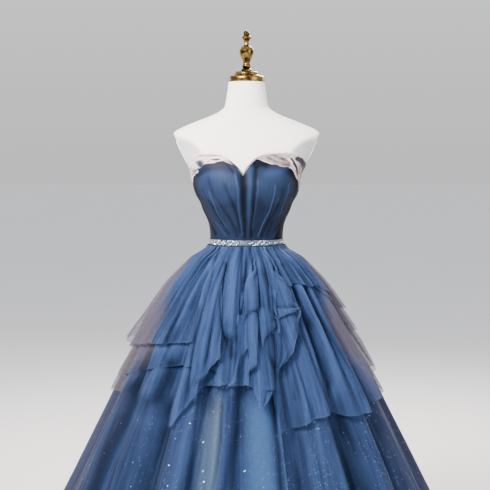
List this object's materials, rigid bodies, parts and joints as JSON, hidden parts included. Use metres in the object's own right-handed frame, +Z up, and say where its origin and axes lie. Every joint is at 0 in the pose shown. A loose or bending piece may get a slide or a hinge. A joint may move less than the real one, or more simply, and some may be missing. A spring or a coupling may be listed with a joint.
{
  "type": "prom dress on a dress form",
  "caption": "Strapless sweetheart prom dress with a folded neckline, a rhinestone belt and a tiered tulle skirt with pointed hems, on a limbless dress form with a round base.",
  "frame": {"origin": "middle of the underside of the stand's round base, on the floor", "axes": "+Z up, the dress faces -Y. Left in a node name is at -X, as seen from the front"},
  "size_m": [1.3976, 1.2966, 1.6545],
  "materials": {
    "tulle_blue": "sheer dusty blue tulle in soft gathers",
    "tulle_glitter": "sheer dusty blue tulle with fine glitter",
    "bodice_blue": "blue tulle pleated over an opaque base",
    "drape_blush": "folded sheer tulle that looks pinkish white over the form",
    "lining_satin": "pale blue satin",
    "rhinestone": "close-set clear rhinestones in silver cups on a ribbon",
    "form_fabric": "tight off-white jersey over a firm form",
    "brass": "polished antique brass",
    "stand_white": "satin off-white paint"
  },
  "bodies": {
    "root": {"form_torso": "form_fabric", "arm_plate_left": "form_fabric", "arm_plate_right": "form_fabric", "neck_cap": "brass", "finial": "brass", "stand_pole": "stand_white", "stand_base": "stand_white", "bodice_front_left": "bodice_blue", "bodice_front_right": "bodice_blue", "bodice_back_left": "bodice_blue", "bodice_back_right": "bodice_blue", "neckline_drape_left": "drape_blush", "neckline_drape_right": "drape_blush", "belt": "rhinestone", "lining_front": "lining_satin", "lining_back_left": "lining_satin", "lining_back_right": "lining_satin", "skirt_front": "tulle_glitter", "skirt_back": "tulle_glitter", "tier_bottom": "tulle_blue", "tier_middle": "tulle_blue", "tier_top": "tulle_blue", "cascade_left": "tulle_blue", "cascade_right": "tulle_blue"}
  },
  "joints": []
}
